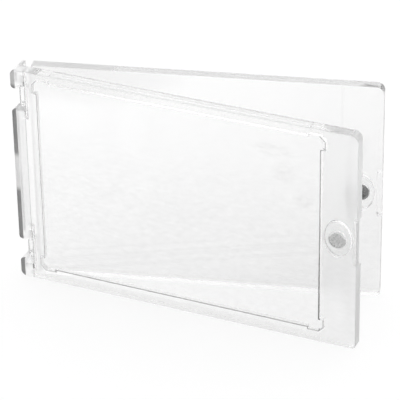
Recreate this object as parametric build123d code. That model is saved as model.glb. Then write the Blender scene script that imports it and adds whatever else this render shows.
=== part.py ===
"""Hinged magnetic display case for one trading card, standing open on its long edge.

Units are millimetres.  The base lies against the XZ plane: X runs along the card from the
hinge end to the thumb notch, Y runs through the thickness from the base's outer face to the
lid, and Z is up.  The lid is drawn closed and then swung open about the hinge axis.
"""
from build123d import *
import os

os.makedirs("parts", exist_ok=True)

# The card and its play in the recess
card_length = 88.9
card_width = 63.5
card_end_play = 0.85
card_side_play = 0.65
recess_depth = 1.9
recess_floor_round = 0.2

# Corner reliefs of the recess, which keep the card's corners off the wall
relief_leg = 4.0
relief_end_reach = 1.4
relief_side_reach = 0.75
relief_chamfer = 1.7

# The two plates
base_thickness = 3.7
lid_thickness = 3.6
parting_gap = 0.1
hinge_margin = 3.3
magnet_margin = 11.6
side_margin = 3.5
upper_corner_radius = 2.4
lower_corner_radius = 1.1
edge_round = 0.3
lid_hinge_corner_radius = 0.6

# Hinge end of the base: two arms and a bar stand up past the lid's end
end_wall_reach = 4.5
arm_thickness = 2.1
bar_thickness = 1.8
arm_length = 6.3
arm_web_length = 4.9
knuckle_slot_length = 7.0
end_corner_radius = 1.9
wall_end_radius = 1.1
wall_crest_round = 0.85

# Hinge pins, which are part of the lid's knuckles, and the lugs that hold them
knuckle_radius = 1.5
knuckle_gap = 0.3
pin_radius = 0.85
pin_clearance = 0.06
pin_engagement = 2.3
pin_end_gap = 0.3
lug_wall = 0.65
bar_lug_length = 4.0
arm_lug_length = 3.6
neck_root_thickness = 2.6
lid_end_setback = 0.4

# Magnets and the oval caps that close their pockets
magnet_radius = 2.7
magnet_thickness = 1.2
magnet_rim_round = 0.3
magnet_clearance = 0.05
magnet_from_end = 6.45
cap_length = 11.8
cap_width = 8.4
cap_skin = 0.7
cap_clearance = 0.05
cap_bed_gap = 0.05

# Thumb notch in the free end of each plate
notch_length = 15.2
notch_depth = 1.6
notch_reach = 1.8
notch_corner_radius = 1.0

# How far the lid stands open at rest
rest_opening = 14.25

recess_length = card_length + 2 * card_end_play
recess_height = card_width + 2 * card_side_play
plate_length = hinge_margin + recess_length + magnet_margin
plate_height = recess_height + 2 * side_margin
mid_height = plate_height / 2
lid_bottom = base_thickness + parting_gap
closed_thickness = lid_bottom + lid_thickness

axis_x = -(knuckle_radius + knuckle_gap)
axis_y = base_thickness + parting_gap / 2
slot_start = arm_length
slot_end = arm_length + knuckle_slot_length
knuckle_start = slot_start + knuckle_gap
knuckle_end = slot_end - knuckle_gap
bore_radius = pin_radius + pin_clearance
lug_radius = bore_radius + lug_wall
pin_tip_in_arm = arm_web_length - pin_engagement
pin_tip_in_bar = slot_end + pin_engagement
magnet_x = plate_length - magnet_from_end
cap_thickness = cap_skin + magnet_thickness
pocket_depth = cap_thickness + cap_bed_gap


def slab(outline, y0, y1):
    """Extrude an outline drawn in X and Z from depth y0 to depth y1."""
    return extrude(Plane.XZ.offset(-y0) * outline, y0 - y1)


def panel(x0, x1, z0, z1):
    """A rectangular outline between two opposite corners."""
    return Pos((x0 + x1) / 2, (z0 + z1) / 2) * Rectangle(x1 - x0, z1 - z0)


def upright_rod(radius, z0, z1):
    """A round rod on the hinge axis."""
    return Pos(axis_x, axis_y, (z0 + z1) / 2) * Cylinder(radius, z1 - z0)


def both_ends(make, start, end):
    """Two copies of a piece, at the same distance from the top and the bottom edge."""
    return make(start, end) + make(plate_height - end, plate_height - start)


def recess_outline():
    """The card's rectangle with a chamfered relief at each corner."""
    centre_x = hinge_margin + recess_length / 2
    outline = Pos(centre_x, mid_height) * Rectangle(recess_length, recess_height)
    relief_length = relief_leg + relief_end_reach
    relief_height = relief_leg + relief_side_reach
    for side_x in (-1, 1):
        for side_z in (-1, 1):
            corner_x = centre_x + side_x * (recess_length / 2 + relief_end_reach)
            corner_z = mid_height + side_z * (recess_height / 2 + relief_side_reach)
            inner_x = corner_x - side_x * relief_length
            inner_z = corner_z - side_z * relief_height
            outline += make_face(Polyline(
                (inner_x, inner_z),
                (corner_x, inner_z),
                (corner_x, corner_z - side_z * relief_chamfer),
                (corner_x - side_x * relief_chamfer, corner_z),
                (inner_x, corner_z),
                close=True,
            ))
    return outline


def round_free_end(outline):
    """Round the two corners at the notched end of a plate's outline."""
    lower = outline.vertices().group_by(Axis.X)[-1].sort_by(Axis.Y)[0]
    outline = fillet(lower, lower_corner_radius)
    upper = outline.vertices().group_by(Axis.X)[-1].sort_by(Axis.Y)[-1]
    return fillet(upper, upper_corner_radius)


def base_outline():
    """The base's plate with the webs that carry its hinge wall, cut by the knuckle slots."""
    outline = panel(-end_wall_reach, plate_length, 0, plate_height)
    outline = fillet(outline.vertices().group_by(Axis.X)[0], end_corner_radius)
    outline = round_free_end(outline)
    arm_face = arm_thickness - end_wall_reach
    outline -= both_ends(lambda z0, z1: panel(-end_wall_reach - 1, 0, z0, z1), slot_start, slot_end)
    outline -= both_ends(lambda z0, z1: panel(arm_face, 0, z0, z1), arm_web_length, slot_end)
    slot_corners = outline.vertices().group_by(Axis.X)[0].filter_by_position(
        Axis.Y, end_corner_radius + wall_end_radius, plate_height - end_corner_radius - wall_end_radius
    )
    return fillet(slot_corners, wall_end_radius)


def hinge_wall(outline):
    """The two arms and the bar that stand up from the base to the closed lid's outer face."""
    arm_face = arm_thickness - end_wall_reach
    bar_face = bar_thickness - end_wall_reach
    arms = outline & both_ends(lambda z0, z1: panel(-end_wall_reach, arm_face, z0, z1), 0, slot_start)
    bar = outline & panel(-end_wall_reach, bar_face, slot_end, plate_height - slot_end)
    wall = slab(arms, base_thickness, closed_thickness) + slab(bar, base_thickness, closed_thickness)
    return fillet(wall.faces().group_by(Axis.Y)[-1].edges(), wall_crest_round)


def pocket_outline(clearance):
    """The oval of the magnet's cap, widened all round by a clearance."""
    return Pos(magnet_x, mid_height) * Ellipse(cap_width / 2 + clearance, cap_length / 2 + clearance)


def magnet_outline(clearance):
    """The magnet's circle, widened all round by a clearance."""
    return Pos(magnet_x, mid_height) * Circle(magnet_radius + clearance)


def notch_outline():
    """Half of a thumb notch in the free end, with rounded inner corners."""
    notch = Pos(plate_length, mid_height) * Rectangle(2 * notch_depth, notch_length)
    return fillet(notch.vertices(), notch_corner_radius)


def make_base():
    """The base: recess, magnet pocket, thumb notch, hinge wall and the lugs with their bores."""
    outline = base_outline()
    plate = slab(outline, 0, base_thickness)
    plate = fillet(plate.faces().sort_by(Axis.Y)[0].edges(), edge_round)
    shell = plate + hinge_wall(outline)
    arm_lugs = (arm_web_length - arm_lug_length, arm_web_length)
    bar_lugs = (slot_end, slot_end + bar_lug_length)
    shell += both_ends(lambda z0, z1: upright_rod(lug_radius, z0, z1), *arm_lugs)
    shell += both_ends(lambda z0, z1: upright_rod(lug_radius, z0, z1), *bar_lugs)
    bore = (pin_tip_in_arm - pin_end_gap, pin_tip_in_bar + pin_end_gap)
    shell -= both_ends(lambda z0, z1: upright_rod(bore_radius, z0, z1), *bore)
    recess = slab(recess_outline(), base_thickness - recess_depth, base_thickness)
    shell -= fillet(recess.faces().sort_by(Axis.Y)[0].edges(), recess_floor_round)
    shell -= slab(pocket_outline(cap_clearance), base_thickness - pocket_depth, base_thickness)
    return shell - slab(notch_outline(), base_thickness - notch_reach, base_thickness)


def knuckle(z0, z1):
    """A lid knuckle: a round barrel with a neck that runs into the lid's end."""
    neck = Polyline(
        (axis_x, lid_bottom),
        (lid_end_setback + lid_hinge_corner_radius, lid_bottom),
        (lid_end_setback + lid_hinge_corner_radius, lid_bottom + neck_root_thickness),
        (lid_end_setback, lid_bottom + neck_root_thickness),
        (axis_x, axis_y + knuckle_radius),
        close=True,
    )
    return upright_rod(knuckle_radius, z0, z1) + extrude(Pos(0, 0, z0) * make_face(neck), z1 - z0)


def make_lid():
    """The lid, closed: a plain plate with a magnet pocket, a thumb notch and two knuckles."""
    outline = panel(lid_end_setback, plate_length, 0, plate_height)
    outline = fillet(outline.vertices().group_by(Axis.X)[0], lid_hinge_corner_radius)
    outline = round_free_end(outline)
    plate = slab(outline, lid_bottom, closed_thickness)
    plate = fillet(plate.faces().sort_by(Axis.Y)[-1].edges(), edge_round)
    plate -= slab(pocket_outline(cap_clearance), lid_bottom, lid_bottom + pocket_depth)
    plate -= slab(notch_outline(), lid_bottom, lid_bottom + notch_reach)
    plate += both_ends(knuckle, knuckle_start, knuckle_end)
    pin = (pin_tip_in_arm, pin_tip_in_bar)
    return plate + both_ends(lambda z0, z1: upright_rod(pin_radius, z0, z1), *pin)


def make_cap(face_y, inward):
    """An oval cap flush with a plate's inner face, hollowed behind for the magnet."""
    back_y = face_y + inward * cap_thickness
    skin_y = face_y + inward * cap_skin
    cap = slab(pocket_outline(0), min(face_y, back_y), max(face_y, back_y))
    return cap - slab(magnet_outline(magnet_clearance), min(skin_y, back_y), max(skin_y, back_y))


def make_magnet(face_y, inward):
    """A disc magnet with rounded rims, held between its cap's skin and its pocket's floor."""
    front_y = face_y + inward * cap_skin
    back_y = face_y + inward * cap_thickness
    disc = slab(magnet_outline(0), min(front_y, back_y), max(front_y, back_y))
    return fillet(disc.edges().filter_by(GeomType.CIRCLE), magnet_rim_round)


to_origin = Pos(-plate_length / 2, -base_thickness / 2, 0)
swing = Pos(axis_x, axis_y, 0) * Rot(0, 0, rest_opening) * Pos(-axis_x, -axis_y, 0)

fixed_pieces = {
    "base_shell": make_base(),
    "base_magnet": make_magnet(base_thickness, -1),
    "base_magnet_cap": make_cap(base_thickness, -1),
}
swinging_pieces = {
    "lid_shell": make_lid(),
    "lid_magnet": make_magnet(lid_bottom, 1),
    "lid_magnet_cap": make_cap(lid_bottom, 1),
}
for name, piece in fixed_pieces.items():
    export_step(to_origin * piece, f"parts/{name}.step")
for name, piece in swinging_pieces.items():
    export_step(to_origin * swing * piece, f"parts/{name}.step")
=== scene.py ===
from functools import cached_property
from math import radians

import bpy
from mathutils import Euler, Matrix, Vector


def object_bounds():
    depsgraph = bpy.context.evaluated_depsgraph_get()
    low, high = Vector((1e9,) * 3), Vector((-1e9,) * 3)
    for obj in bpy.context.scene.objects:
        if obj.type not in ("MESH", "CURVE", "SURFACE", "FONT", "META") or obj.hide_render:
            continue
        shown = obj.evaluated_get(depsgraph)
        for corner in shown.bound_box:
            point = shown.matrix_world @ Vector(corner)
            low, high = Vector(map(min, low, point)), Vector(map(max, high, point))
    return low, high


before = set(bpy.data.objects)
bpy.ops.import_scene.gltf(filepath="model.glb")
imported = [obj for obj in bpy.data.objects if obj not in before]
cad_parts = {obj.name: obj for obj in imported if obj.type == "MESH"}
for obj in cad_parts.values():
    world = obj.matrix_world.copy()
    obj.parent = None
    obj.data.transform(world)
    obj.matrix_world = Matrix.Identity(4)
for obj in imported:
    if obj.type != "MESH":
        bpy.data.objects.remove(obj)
cad_box = [list(corner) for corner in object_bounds()]
scene = bpy.context.scene

# Places are in metres in the part's frame. X runs from the hinge end (-0.0573) to the free end
# (0.0528), Y from the base's outer face (-0.0019) past its parting face (0.0019) to the lid, and
# Z from the floor up to 0.0718. A pair of places is a soft step from the first to the second, and
# a pair of tones, widths or roughnesses belongs to the two ends of such a step. A tone of 1 takes
# nothing from the light.
(LOW_X, _, LOW_Z), (HIGH_X, _, HIGH_Z) = cad_box
LENGTH = HIGH_X - LOW_X
HEIGHT = HIGH_Z - LOW_Z
MIDDLE_Z = HEIGHT / 2

# Studio light: strength of the world overhead, all round, and on a dim flag before the object,
# with soft edges in height and in nearness to the flag's direction
OVERHEAD_LIGHT = 1.42
BACK_LIGHT = 1.12
FLAG_LIGHT = 0.35
OVERHEAD_EDGE = (0.70, 0.86)
FLAG_DIRECTION = (0.2, -0.9, 0.45)
FLAG_EDGE = (0.2, 0.7)

# Floor
FLOOR_TONE = 0.98
FLOOR_SIZE = 4.0
FLOOR_GAP = 0.0001

# Camera, from a fit to the edges that the photograph shows: its place, and its turns about X, Y
# and Z in degrees
CAMERA_LENS = 231.0
CAMERA_SENSOR = 36.0
CAMERA_NEAREST = 0.01
CAMERA_PLACE = (0.267075, -0.593140, 0.424609)
CAMERA_TURNS = (59.30659, 0.86985, 23.49211)

# How often light may bounce on its way through the plastic
LIGHT_BOUNCES = 64

# Clear plastic
REFRACTIVE_INDEX = 1.49
SHADOW_TONE = 0.97
ABSORPTION_TONE = 0.5
ABSORPTION_DENSITY = 4.0

# How far a face is turned to +Y or -Y: broad faces carry painted shade and mottling, narrow ones
# none
BROAD_FACE = (0.4, 0.8)

# Painted shade that deepens from the upper hinge corner (0) to the lower free corner (1): the share
# of each direction, then for each plate a soft step of depths and its tones
SHADE_ALONG = 0.5
SHADE_DOWN = 0.5
BASE_PAINTED_SHADE = (0.62, 1.0, 1.0, 0.92)
LID_PAINTED_SHADE = (0.0, 1.3, 1.0, 0.87)
LID_PAINTED_SHADE_LEAN = 1.3
NO_PAINTED_SHADE = (0.0, 1.0, 1.0, 1.0)

# Mottling of the broad faces: wide clouds, and fine flecks that fade out towards the top. A noise
# is given as its scale, detail and roughness.
NOISE_SPAN = (0.3, 0.7)
CLOUD_NOISE = (45.0, 3.0, 0.6)
CLOUD_TONE = (0.988, 1.0)
MOTTLE_STRETCH = (0.5, 0.5, 1.0)
FLECK_NOISE = (850.0, 2.0, 0.6)
FLECK_TONE = (0.957, 1.0)
FLECK_END_Z = (0.030, 0.066)

# Oval patches as centre and half size: streaky smudges and a painted highlight on the base, and a
# painted shade along the top of the lid
STREAK_NOISE = (900.0, 3.0, 0.8)
STREAK_SPAN = (0.4, 0.6)
SMUDGE_SHARE = 0.07
SMUDGES = (
    ((0.0265, 0.0620), (0.0080, 0.0032)),
    ((0.0300, 0.0550), (0.0050, 0.0045)),
    ((0.0365, 0.0470), (0.0040, 0.0030)),
)
HIGHLIGHT_PATCH = ((-0.0180, 0.0600), (0.0060, 0.0120))
LID_SHADE = ((-0.0360, 0.0710), (0.0330, 0.0130))
LID_SHADE_SHARE = 0.10

# Lowest strip of each plate, where a flat tone takes the place of the painted shade: darker on the
# base, untinted on the lid
BASE_FOOT_Z = (0.0015, 0.0019)
BASE_FOOT_TONE = 0.93
LID_FOOT_Z = (0.0005, 0.0009)
LID_FOOT_TONE = 1.0

# Painted shade on the walls at the free end of the base, darker below
WALL_FACING = (0.5, 0.8)
WALL_FROM_X = (0.0515, 0.0520)
WALL_RISE_Z = (0.010, 0.050)
WALL_SHADE_TONE = (0.57, 0.93)

# Dull finish on the narrow faces near the free end, duller in the thumb notches, whose half
# height counts from the middle
BASE_END_X = (0.0500, 0.0505)
LID_END_X = (0.0440, 0.0450)
END_WALL_ROUGHNESS = 0.4
NOTCH_HALF = (0.0074, 0.0078)
NOTCH_TO_X = (0.0520, 0.0524)
NOTCH_ROUGHNESS = 0.7

# Dull finish on the base's parting face, beside the recess
PARTING_Y = (0.0014, 0.0017)
HINGE_MARGIN_X = (-0.0498, -0.0494)
HINGE_MARGIN_ROUGHNESS = 0.3
FREE_MARGIN_X = (0.0408, 0.0412)
FREE_MARGIN_END_X = (0.0475, 0.0505)
FREE_MARGIN_ROUGHNESS = (0.29, 0.65)

# Dull finish on the base's hinge end and on the recess's wall there
HINGE_END_X = (-0.0532, -0.0526)
HINGE_WALL_X = (-0.0494, -0.0490)
HINGE_ROUGHNESS = 0.3
RECESS_WALL_X = (-0.0514, -0.0512)
RECESS_WALL_HALF = (0.0338, 0.0342)
RECESS_WALL_ROUGHNESS = 0.7

# Dull finish along the base's upper margin and on the front of its upper edge
UPPER_MARGIN_Z = (0.0681, 0.0683)
UPPER_EDGE_Z = (0.0714, 0.0716)
UPPER_MARGIN_ROUGHNESS = 0.2
UPPER_END_X = (0.0400, 0.0410)
UPPER_END_ROUGHNESS = 0.35
UPPER_FRONT_Y = (-0.0016, -0.0014)
UPPER_FRONT_ROUGHNESS = 0.7

# Dull finish on both ends of the lid's upper edge, and the share of its end walls' finish that
# faces turned upwards keep
LID_HINGE_END_X = (-0.0300, -0.0250)
LID_HINGE_END_ROUGHNESS = 0.35
LID_FREE_END_X = (0.0340, 0.0400)
LID_FREE_END_ROUGHNESS = 0.16
UPWARD_FACING = (0.5, 0.9)
UPWARD_SHARE = 0.4

# Magnet cap in the base: its oval outline, a painted shade line which fades towards the free end,
# and the dull wall round it, darkened by painted shade. Reaches are in half sizes of the cap.
CAP_CENTRE = (0.0463, MIDDLE_Z)
CAP_HALF = (0.0042, 0.0059)
CAP_LINE_REACH = 0.03
CAP_LINE_Y = 0.0017
CAP_LINE_X = (0.0450, 0.0475)
CAP_LINE_TONE = 0.3
CAP_WALL_REACH = (1.1, 1.15)
CAP_WALL_ROUGHNESS = 0.4
CAP_WALL_SHADE_TONE = 0.8

# The base's recess: the card's rectangle, and the corner reliefs that reach past its corners
RECESS_CENTRE = (-0.00415, MIDDLE_Z)
RECESS_HALF = (0.0453, 0.0324)
RELIEF_LEG = 0.004
RELIEF_REACH = (0.0014, 0.00075)
RELIEF_CHAMFER = 0.0017
RELIEF_FROM = [half - RELIEF_LEG for half in RECESS_HALF]
RELIEF_HALF = [half + reach for half, reach in zip(RECESS_HALF, RELIEF_REACH)]

# Painted shade: a dark line round the recess floor, where it turns up into the wall: its depth,
# width and tone
DIAGONAL = 0.5 ** 0.5
LINE_DEPTH = (-0.0002, 0.0001)
LINE_OVERLAP = 0.00005
LINE_SIDES_X = (-0.0490, 0.0380)
LEFT_LINE_WIDTH = 0.00022
LEFT_LINE_TONE = 0.2
LEVEL_LINE_WIDTH = 0.0004
LEVEL_LINE_TONE = 0.12
RIGHT_LINE_RISE_Z = (0.010, 0.050)
RIGHT_LINE_WIDTH = (0.00045, 0.0003)
RIGHT_LINE_TONE = (0.05, 0.18)

# The line is paler in the reliefs, open at their steps, and missing along the upper wall
RELIEF_LINE_FROM = 0.0002
RELIEF_LINE_TONE = 0.4
STEP_REACH = 0.0004
LINE_TOP_Z = 0.066
LINE_TOP_FROM_X = 0.0406

# Painted shade: a fine dark line on the outer face where the plate, which is centred on X = 0,
# ends and the hinge webs begin. It is wider and darker at the knuckle slots, whose heights count
# from the middle.
SEAM_X = -HIGH_X
SEAM_Y = -0.0013
SEAM_HALF_WIDTH = (0.00011, 0.0003)
SEAM_TONE = (0.45, 0.2)
SLOT_FROM = (0.0225, 0.0227)
SLOT_TO = (0.0325, 0.0327)

# Painted shade: a near-black front edge of the hinge bar and arms, standing in for a dark
# reflection, painted paler at the top, with a painted highlight half way up
CREST_X = (-0.0558, -0.0556)
CREST_Y = (-0.0013, -0.0011)
CREST_UPPER_Z = (0.0662, 0.0676)
CREST_SHADE_TONE = (0.07, 0.27)
CREST_HIGHLIGHT_FROM_Z = (0.0300, 0.0325)
CREST_HIGHLIGHT_TO_Z = (0.0415, 0.0440)
CREST_HIGHLIGHT_SHARE = 0.6

# Painted shade along the edge of the knuckles' barrels
BARREL_X = (-0.0553, -0.0549)
BARREL_FRONT_Y = 0.0013
BARREL_SHADE_TONE = 0.25

# Nickel plate of the magnets with fine wear, painted lighter on the base's magnet and darker on
# the lid's as lit and shaded copies, and a painted highlight on the upper rim of the base's magnet
WEAR_NOISE = (1400.0, 4.0, 0.7)
WEAR_SPAN = (0.35, 0.65)
WEAR_ROUGHNESS = (0.2, 0.45)
WEAR_STRENGTH = 0.25
WEAR_DEPTH = 0.0001
BASE_MAGNET_LIT_TONE = (0.42, 0.72)
LID_MAGNET_SHADED_TONE = (0.24, 0.42)
RIM_RADIUS = (0.0020, 0.0024)
RIM_RISE = (0.0004, 0.0010)
RIM_HIGHLIGHT_TONE = 0.95


class Nodes:
    """Short ways to add and join the nodes of one tree."""

    def __init__(self, tree):
        self.tree = tree

    def add(self, kind, **settings):
        node = self.tree.nodes.new(kind)
        for key, value in settings.items():
            setattr(node, key, value)
        return node

    def put(self, socket, value):
        """Set a socket to a number or colour, or link it to an output."""
        if isinstance(value, bpy.types.NodeSocket):
            self.tree.links.new(value, socket)
        else:
            socket.default_value = value

    def math(self, operation, *values):
        node = self.add("ShaderNodeMath", operation=operation)
        for socket, value in zip(node.inputs, values):
            self.put(socket, value)
        return node.outputs[0]

    def product(self, first, *others):
        for value in others:
            first = self.math("MULTIPLY", first, value)
        return first

    def largest(self, first, *others):
        for value in others:
            first = self.math("MAXIMUM", first, value)
        return first

    def without(self, share, strength):
        """What is left of 1 when a share of the given strength is taken away."""
        return self.math("MULTIPLY_ADD", share, -strength, 1.0)

    def split(self, vector):
        """The three parts of a vector."""
        node = self.add("ShaderNodeSeparateXYZ")
        self.put(node.inputs[0], vector)
        return node.outputs

    def ramp(self, value, low, high, start=0.0, end=1.0):
        """A smooth step of value from start at low to end at high."""
        node = self.add("ShaderNodeMapRange", interpolation_type="SMOOTHSTEP")
        self.put(node.inputs["Value"], value)
        self.put(node.inputs["From Min"], low)
        self.put(node.inputs["From Max"], high)
        self.put(node.inputs["To Min"], start)
        self.put(node.inputs["To Max"], end)
        return node.outputs[0]

    def fade(self, value, low, high):
        """A smooth step of value from 1 at low to 0 at high."""
        return self.ramp(value, low, high, 1.0, 0.0)

    def blend(self, share, first, second):
        """A number between first (share 0) and second (share 1)."""
        node = self.add("ShaderNodeMix", data_type="FLOAT")
        self.put(node.inputs[0], share)
        self.put(node.inputs[2], first)
        self.put(node.inputs[3], second)
        return node.outputs[0]

    def noise(self, where, scale, detail, roughness):
        node = self.add("ShaderNodeTexNoise")
        self.put(node.inputs["Vector"], where)
        self.put(node.inputs["Scale"], scale)
        self.put(node.inputs["Detail"], detail)
        self.put(node.inputs["Roughness"], roughness)
        return node.outputs["Fac"]

    def grey(self, value):
        node = self.add("ShaderNodeCombineColor")
        for channel in node.inputs:
            self.put(channel, value)
        return node.outputs[0]


class SurfaceNodes(Nodes):
    """The nodes of one material, with the place on the part and the way its surface faces."""

    @cached_property
    def coordinates(self):
        return self.add("ShaderNodeTexCoord").outputs

    @cached_property
    def place(self):
        return self.split(self.coordinates["Object"])

    @property
    def x(self):
        return self.place[0]

    @property
    def y(self):
        return self.place[1]

    @property
    def z(self):
        return self.place[2]

    @cached_property
    def height(self):
        """How far a point lies above or below the middle of the part."""
        return self.apart(self.z, MIDDLE_Z)

    @cached_property
    def stretched(self):
        """The place, drawn out along the plates for noise that runs lengthwise."""
        node = self.add("ShaderNodeVectorMath", operation="MULTIPLY")
        self.put(node.inputs[0], self.coordinates["Object"])
        self.put(node.inputs[1], MOTTLE_STRETCH)
        return node.outputs[0]

    @cached_property
    def normal(self):
        return self.split(self.coordinates["Normal"])

    @cached_property
    def broad(self):
        """1 on the plates' broad faces, 0 on narrow ones."""
        return self.ramp(self.facing(1), *BROAD_FACE)

    @cached_property
    def narrow(self):
        return self.math("SUBTRACT", 1.0, self.broad)

    def facing(self, axis):
        """How far the surface is turned along an axis, either way."""
        return self.math("ABSOLUTE", self.normal[axis])

    def apart(self, value, middle):
        """How far a value is from a middle one, either way."""
        return self.math("ABSOLUTE", self.math("SUBTRACT", value, middle))

    def past(self, values, limits):
        """How far the first value lies past its limit, or the second where that is more."""
        return self.largest(*(self.math("SUBTRACT", *pair) for pair in zip(values, limits)))

    def oval(self, centre, half=(1.0, 1.0)):
        """The square of a point's distance from a centre in X and Z, counted in half sizes."""
        across = self.math("DIVIDE", self.math("SUBTRACT", self.x, centre[0]), half[0])
        upward = self.math("DIVIDE", self.math("SUBTRACT", self.z, centre[1]), half[1])
        return self.math("ADD", self.product(across, across), self.product(upward, upward))

    def patch(self, centre, half):
        """A soft oval patch, 1 in the middle and 0 outside."""
        return self.fade(self.oval(centre, half), 0.0, 1.0)

    @cached_property
    def cap_distance(self):
        """How far a point lies from the middle of the base's cap, 1 on the cap's outline."""
        return self.math("SQRT", self.oval(CAP_CENTRE, CAP_HALF))

    @cached_property
    def cap_wall(self):
        """1 on the narrow faces of the base's cap and its pocket, 0 elsewhere."""
        return self.product(self.narrow, self.fade(self.cap_distance, *CAP_WALL_REACH))


def new_material(name):
    """A material with an empty tree, its helper and its output node."""
    material = bpy.data.materials.new(name)
    material.use_nodes = True
    material.node_tree.nodes.clear()
    nodes = SurfaceNodes(material.node_tree)
    return material, nodes, nodes.add("ShaderNodeOutputMaterial")


def shade_and_mottle_tone(nodes, shade_ramp, lean, foot_z, foot_tone):
    """The tone of a broad face from its painted shade, clouds and flecks, with its own lowest
    strip.
    """
    lengthwise = SHADE_ALONG * lean
    along = nodes.math("MULTIPLY_ADD", nodes.x, lengthwise / LENGTH, lengthwise / 2)
    down = nodes.math("MULTIPLY_ADD", nodes.z, -SHADE_DOWN / HEIGHT, SHADE_DOWN)
    depth = nodes.ramp(nodes.math("ADD", along, down), *shade_ramp)
    depth = nodes.blend(nodes.fade(nodes.z, *foot_z), depth, foot_tone)
    cloud = nodes.noise(nodes.coordinates["Object"], *CLOUD_NOISE)
    fleck = nodes.noise(nodes.stretched, *FLECK_NOISE)
    fleck = nodes.ramp(fleck, *NOISE_SPAN, *FLECK_TONE)
    fleck = nodes.blend(nodes.ramp(nodes.z, *FLECK_END_Z), fleck, 1.0)
    return nodes.product(nodes.ramp(cloud, *NOISE_SPAN, *CLOUD_TONE), depth, fleck)


def free_wall_shade(nodes):
    """The tone of the painted shade on the walls at the base's free end, 1 elsewhere."""
    share = nodes.product(nodes.ramp(nodes.facing(0), *WALL_FACING),
                          nodes.ramp(nodes.x, *WALL_FROM_X))
    return nodes.blend(share, 1.0, nodes.ramp(nodes.z, *WALL_RISE_Z, *WALL_SHADE_TONE))


def recess_shade_line(nodes):
    """The tone of a narrow painted shade line inside the foot of the recess wall, 1 elsewhere."""
    across = nodes.apart(nodes.x, RECESS_CENTRE[0])
    upward = nodes.apart(nodes.z, RECESS_CENTRE[1])
    past_card = nodes.past((across, upward), RECESS_HALF)
    past_chamfer = nodes.math("SUBTRACT", nodes.math("ADD", across, upward),
                              sum(RELIEF_HALF) - RELIEF_CHAMFER)
    past_relief = nodes.largest(nodes.past((across, upward), RELIEF_HALF),
                                nodes.past(RELIEF_FROM, (across, upward)),
                                nodes.product(past_chamfer, DIAGONAL))
    past_wall = nodes.math("MINIMUM", past_card, past_relief)

    left = nodes.math("LESS_THAN", nodes.x, LINE_SIDES_X[0])
    right = nodes.math("GREATER_THAN", nodes.x, LINE_SIDES_X[1])
    width = nodes.blend(left, LEVEL_LINE_WIDTH, LEFT_LINE_WIDTH)
    width = nodes.blend(right, width, nodes.ramp(nodes.z, *RIGHT_LINE_RISE_Z, *RIGHT_LINE_WIDTH))
    tone = nodes.blend(left, LEVEL_LINE_TONE, LEFT_LINE_TONE)
    tone = nodes.blend(right, tone, nodes.ramp(nodes.z, *RIGHT_LINE_RISE_Z, *RIGHT_LINE_TONE))
    in_relief = nodes.math("GREATER_THAN", past_card, RELIEF_LINE_FROM)
    tone = nodes.blend(in_relief, tone, nodes.largest(tone, RELIEF_LINE_TONE))

    half = nodes.product(width, 0.5)
    line = nodes.math("COMPARE", past_wall, nodes.product(half, -1.0),
                      nodes.math("ADD", half, LINE_OVERLAP))
    deep = nodes.product(nodes.math("GREATER_THAN", nodes.y, LINE_DEPTH[0]),
                         nodes.math("LESS_THAN", nodes.y, LINE_DEPTH[1]))
    step = nodes.product(
        nodes.math("LESS_THAN", upward, RELIEF_FROM[1] + STEP_REACH),
        nodes.math("GREATER_THAN", across, RECESS_HALF[0] + RELIEF_LINE_FROM))
    kept_at_top = nodes.math("ADD", left, nodes.math("GREATER_THAN", nodes.x, LINE_TOP_FROM_X))
    shown = nodes.largest(kept_at_top, nodes.math("LESS_THAN", nodes.z, LINE_TOP_Z))
    shown = nodes.product(shown, nodes.math("SUBTRACT", 1.0, step))
    return nodes.blend(nodes.product(line, deep, shown), 1.0, tone)


def cap_shade_line(nodes):
    """The tone of a fine painted shade line round the cap on the base's parting face, 1 elsewhere.
    """
    ring = nodes.product(nodes.math("COMPARE", nodes.cap_distance, 1.0, CAP_LINE_REACH),
                         nodes.math("GREATER_THAN", nodes.y, CAP_LINE_Y),
                         nodes.fade(nodes.x, *CAP_LINE_X))
    return nodes.blend(ring, 1.0, CAP_LINE_TONE)


def seam_shade_line(nodes):
    """The tone of the painted shade line between the base's plate and its hinge webs, 1 elsewhere.
    """
    slot = nodes.product(nodes.ramp(nodes.height, *SLOT_FROM), nodes.fade(nodes.height, *SLOT_TO))
    half = nodes.blend(slot, *SEAM_HALF_WIDTH)
    line = nodes.product(nodes.math("COMPARE", nodes.x, SEAM_X, half),
                         nodes.math("LESS_THAN", nodes.y, SEAM_Y))
    return nodes.blend(line, 1.0, nodes.blend(slot, *SEAM_TONE))


def with_crest_shade(nodes, tone):
    """A tone, with painted shade that makes the front edge of the hinge bar and arms near black."""
    edge = nodes.product(nodes.fade(nodes.x, *CREST_X), nodes.fade(nodes.y, *CREST_Y))
    # Painted highlight: the crest is paler half way up
    crest_highlight = nodes.product(nodes.ramp(nodes.z, *CREST_HIGHLIGHT_FROM_Z),
                        nodes.fade(nodes.z, *CREST_HIGHLIGHT_TO_Z))
    edge = nodes.product(edge, nodes.without(crest_highlight, CREST_HIGHLIGHT_SHARE))
    return nodes.blend(edge, tone, nodes.ramp(nodes.z, *CREST_UPPER_Z, *CREST_SHADE_TONE))


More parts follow.
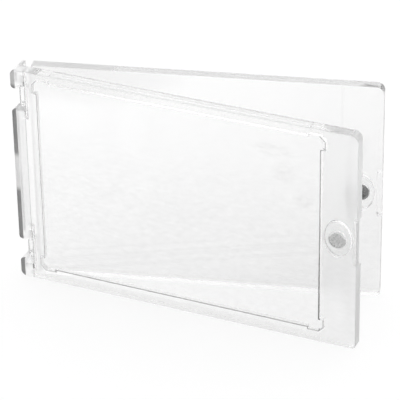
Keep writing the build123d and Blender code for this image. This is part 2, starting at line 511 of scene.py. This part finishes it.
def base_tone(nodes, shade_ramp):
    """The tone of the base and its cap, with their painted shade and painted highlights."""
    tone = shade_and_mottle_tone(nodes, shade_ramp, 1.0, BASE_FOOT_Z, BASE_FOOT_TONE)
    streaks = nodes.ramp(nodes.noise(nodes.stretched, *STREAK_NOISE), *STREAK_SPAN)
    for smudge in SMUDGES:
        streaky = nodes.product(nodes.patch(*smudge), streaks)
        tone = nodes.product(tone, nodes.without(streaky, SMUDGE_SHARE))
    # Painted highlight: the tone goes back to 1 in a pale patch on the base
    tone = nodes.blend(nodes.patch(*HIGHLIGHT_PATCH), tone, 1.0)
    tone = nodes.blend(nodes.broad, 1.0, tone)
    tone = nodes.product(tone, free_wall_shade(nodes), recess_shade_line(nodes), cap_shade_line(nodes), seam_shade_line(nodes))
    return nodes.product(with_crest_shade(nodes, tone), nodes.blend(nodes.cap_wall, 1.0, CAP_WALL_SHADE_TONE))


def lid_tone(nodes, shade_ramp):
    """The tone of the lid and its cap, with their painted shade."""
    tone = shade_and_mottle_tone(nodes, shade_ramp, LID_PAINTED_SHADE_LEAN, LID_FOOT_Z, LID_FOOT_TONE)
    tone = nodes.product(tone, nodes.without(nodes.patch(*LID_SHADE), LID_SHADE_SHARE))
    # Painted shade along the barrels' edge
    barrel = nodes.product(nodes.fade(nodes.x, *BARREL_X),
                           nodes.math("LESS_THAN", nodes.y, BARREL_FRONT_Y))
    return nodes.product(nodes.blend(nodes.broad, 1.0, tone),
                         nodes.blend(barrel, 1.0, BARREL_SHADE_TONE))


def end_walls(nodes, from_x):
    """The roughness of the narrow faces near the free end, 0 elsewhere."""
    notch = nodes.product(nodes.fade(nodes.height, *NOTCH_HALF), nodes.fade(nodes.x, *NOTCH_TO_X))
    return nodes.product(nodes.narrow, nodes.ramp(nodes.x, *from_x),
                         nodes.blend(notch, END_WALL_ROUGHNESS, NOTCH_ROUGHNESS))


def parting_margins(nodes):
    """The roughness of the base's parting face beside the recess, 0 elsewhere."""
    hinge_side = nodes.ramp(nodes.x, *HINGE_MARGIN_X, HINGE_MARGIN_ROUGHNESS, 0.0)
    free_side = nodes.product(nodes.ramp(nodes.x, *FREE_MARGIN_X),
                              nodes.ramp(nodes.x, *FREE_MARGIN_END_X, *FREE_MARGIN_ROUGHNESS))
    return nodes.product(nodes.math("ADD", hinge_side, free_side),
                         nodes.ramp(nodes.y, *PARTING_Y), nodes.broad)


def hinge_walls(nodes):
    """The roughness of the narrow faces near the base's hinge end, 0 elsewhere."""
    recess = nodes.product(nodes.ramp(nodes.x, *RECESS_WALL_X),
                           nodes.fade(nodes.height, *RECESS_WALL_HALF))
    return nodes.product(nodes.narrow, nodes.fade(nodes.x, *HINGE_WALL_X),
                         nodes.blend(recess, HINGE_ROUGHNESS, RECESS_WALL_ROUGHNESS))


def upper_margin(nodes):
    """The roughness of the base's margin above the recess, 0 elsewhere."""
    band = nodes.product(nodes.ramp(nodes.z, *UPPER_MARGIN_Z), nodes.fade(nodes.z, *UPPER_EDGE_Z))
    inner = nodes.largest(nodes.narrow, nodes.ramp(nodes.y, *PARTING_Y))
    end = nodes.product(nodes.narrow, nodes.ramp(nodes.x, *UPPER_END_X))
    return nodes.product(band, inner, nodes.blend(end, UPPER_MARGIN_ROUGHNESS, UPPER_END_ROUGHNESS))


def base_roughness(nodes):
    """The roughness of the base and its cap: polished, but for the dull places."""
    upper_front = nodes.product(nodes.ramp(nodes.z, *UPPER_EDGE_Z),
                                nodes.fade(nodes.y, *UPPER_FRONT_Y), UPPER_FRONT_ROUGHNESS)
    hinge_end = nodes.ramp(nodes.x, *HINGE_END_X, HINGE_ROUGHNESS, 0.0)
    dull = nodes.largest(end_walls(nodes, BASE_END_X), parting_margins(nodes), hinge_end,
                         hinge_walls(nodes), upper_margin(nodes), upper_front)
    return nodes.blend(nodes.cap_wall, dull, CAP_WALL_ROUGHNESS)


def lid_roughness(nodes):
    """The roughness of the lid and its cap: polished, but for the dull places."""
    kept = nodes.ramp(nodes.facing(2), *UPWARD_FACING, 1.0, UPWARD_SHARE)
    hinge_end = nodes.product(nodes.fade(nodes.x, *LID_HINGE_END_X), LID_HINGE_END_ROUGHNESS)
    free_end = nodes.ramp(nodes.x, *LID_FREE_END_X, 0.0, LID_FREE_END_ROUGHNESS)
    upper_edge = nodes.product(nodes.narrow, nodes.ramp(nodes.z, *UPPER_EDGE_Z),
                               nodes.largest(hinge_end, free_end))
    return nodes.largest(nodes.product(end_walls(nodes, LID_END_X), kept), upper_edge)


def clear_plastic(name, tone, roughness, shade_ramp):
    """Moulded clear acrylic that absorbs a little light and casts only a faint shadow."""
    material, nodes, output = new_material(name)
    shader = nodes.add("ShaderNodeBsdfPrincipled")
    nodes.put(shader.inputs["Base Color"], nodes.grey(tone(nodes, shade_ramp)))
    nodes.put(shader.inputs["Roughness"], roughness(nodes))
    nodes.put(shader.inputs["IOR"], REFRACTIVE_INDEX)
    nodes.put(shader.inputs["Transmission Weight"], 1.0)
    shadow = nodes.add("ShaderNodeBsdfTransparent")
    nodes.put(shadow.inputs["Color"], (SHADOW_TONE, SHADOW_TONE, SHADOW_TONE, 1.0))
    path = nodes.add("ShaderNodeLightPath").outputs
    mix = nodes.add("ShaderNodeMixShader")
    nodes.put(mix.inputs["Fac"], nodes.largest(path["Is Shadow Ray"], path["Is Diffuse Ray"]))
    nodes.put(mix.inputs[1], shader.outputs["BSDF"])
    nodes.put(mix.inputs[2], shadow.outputs["BSDF"])
    nodes.put(output.inputs["Surface"], mix.outputs[0])
    absorb = nodes.add("ShaderNodeVolumeAbsorption")
    nodes.put(absorb.inputs["Color"], (ABSORPTION_TONE, ABSORPTION_TONE, ABSORPTION_TONE, 1.0))
    nodes.put(absorb.inputs["Density"], ABSORPTION_DENSITY)
    nodes.put(output.inputs["Volume"], absorb.outputs[0])
    return material


def plated_metal(name, tones, rim=False):
    """Nickel plate with fine wear marks, in painted lit or shaded tones, and a painted highlight on
    the upper rim where asked.
    """
    material, nodes, output = new_material(name)
    wear = nodes.noise(nodes.coordinates["Object"], *WEAR_NOISE)
    tone = nodes.ramp(wear, *WEAR_SPAN, *tones)
    if rim:
        # Painted highlight on the upper rim
        radius = nodes.math("SQRT", nodes.oval(CAP_CENTRE))
        rise = nodes.math("SUBTRACT", nodes.z, CAP_CENTRE[1])
        rim_highlight = nodes.product(nodes.ramp(radius, *RIM_RADIUS), nodes.ramp(rise, *RIM_RISE))
        tone = nodes.blend(rim_highlight, tone, RIM_HIGHLIGHT_TONE)
    bump = nodes.add("ShaderNodeBump")
    nodes.put(bump.inputs["Height"], wear)
    nodes.put(bump.inputs["Strength"], WEAR_STRENGTH)
    nodes.put(bump.inputs["Distance"], WEAR_DEPTH)
    shader = nodes.add("ShaderNodeBsdfPrincipled")
    nodes.put(shader.inputs["Base Color"], nodes.grey(tone))
    nodes.put(shader.inputs["Metallic"], 1.0)
    nodes.put(shader.inputs["Roughness"], nodes.ramp(wear, *NOISE_SPAN, *WEAR_ROUGHNESS))
    nodes.put(shader.inputs["Normal"], bump.outputs[0])
    nodes.put(output.inputs["Surface"], shader.outputs["BSDF"])
    return material


def make_floor():
    """A wide white floor just under the object."""
    bpy.ops.mesh.primitive_plane_add(size=FLOOR_SIZE, location=(0.0, 0.0, -FLOOR_GAP))
    floor = bpy.context.object
    floor.name = "floor"
    material, nodes, output = new_material("floor_white")
    diffuse = nodes.add("ShaderNodeBsdfDiffuse")
    nodes.put(diffuse.inputs["Color"], (FLOOR_TONE, FLOOR_TONE, FLOOR_TONE, 1.0))
    nodes.put(output.inputs["Surface"], diffuse.outputs["BSDF"])
    floor.data.materials.append(material)
    return floor


def make_world():
    """Soft white light, stronger overhead and weak on the flag; the camera sees plain white."""
    world = bpy.data.worlds.new("studio")
    world.use_nodes = True
    nodes = Nodes(world.node_tree)
    direction = nodes.add("ShaderNodeTexCoord").outputs["Generated"]
    facing = nodes.add("ShaderNodeVectorMath", operation="DOT_PRODUCT")
    nodes.put(facing.inputs[0], direction)
    nodes.put(facing.inputs[1], Vector(FLAG_DIRECTION).normalized())
    around = nodes.ramp(facing.outputs["Value"], *FLAG_EDGE, BACK_LIGHT, FLAG_LIGHT)
    overhead = nodes.ramp(nodes.split(direction)[2], *OVERHEAD_EDGE)
    light = nodes.blend(overhead, around, OVERHEAD_LIGHT)
    camera_ray = nodes.add("ShaderNodeLightPath").outputs["Is Camera Ray"]
    background = world.node_tree.nodes["Background"]
    nodes.put(background.inputs["Color"], (1.0, 1.0, 1.0, 1.0))
    nodes.put(background.inputs["Strength"], nodes.blend(camera_ray, light, 1.0))
    return world


def make_camera():
    """The camera where the photograph was taken from."""
    data = bpy.data.cameras.new("camera")
    data.lens = CAMERA_LENS
    data.sensor_width = CAMERA_SENSOR
    data.clip_start = CAMERA_NEAREST
    camera = bpy.data.objects.new("camera", data)
    turn = Euler([radians(angle) for angle in CAMERA_TURNS]).to_matrix().to_4x4()
    camera.matrix_world = Matrix.Translation(CAMERA_PLACE) @ turn
    scene.collection.objects.link(camera)
    return camera


materials = {
    "base_shell": clear_plastic("clear_acrylic_base", base_tone, base_roughness, BASE_PAINTED_SHADE),
    "base_magnet_cap": clear_plastic("clear_acrylic_base_cap", base_tone, base_roughness, NO_PAINTED_SHADE),
    "base_magnet": plated_metal("nickel_plate_base", BASE_MAGNET_LIT_TONE, rim=True),
    "lid_shell": clear_plastic("clear_acrylic_lid", lid_tone, lid_roughness, LID_PAINTED_SHADE),
    "lid_magnet_cap": clear_plastic("clear_acrylic_lid_cap", lid_tone, lid_roughness, NO_PAINTED_SHADE),
    "lid_magnet": plated_metal("nickel_plate_lid", LID_MAGNET_SHADED_TONE),
}
for name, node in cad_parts.items():
    for slot in node.material_slots:
        slot.material = materials[name]

floor = make_floor()
scene.world = make_world()
scene.camera = make_camera()
scene.cycles.max_bounces = LIGHT_BOUNCES
scene.cycles.glossy_bounces = LIGHT_BOUNCES
scene.cycles.transmission_bounces = LIGHT_BOUNCES
scene.cycles.transparent_max_bounces = LIGHT_BOUNCES
scene.view_settings.view_transform = "Standard"
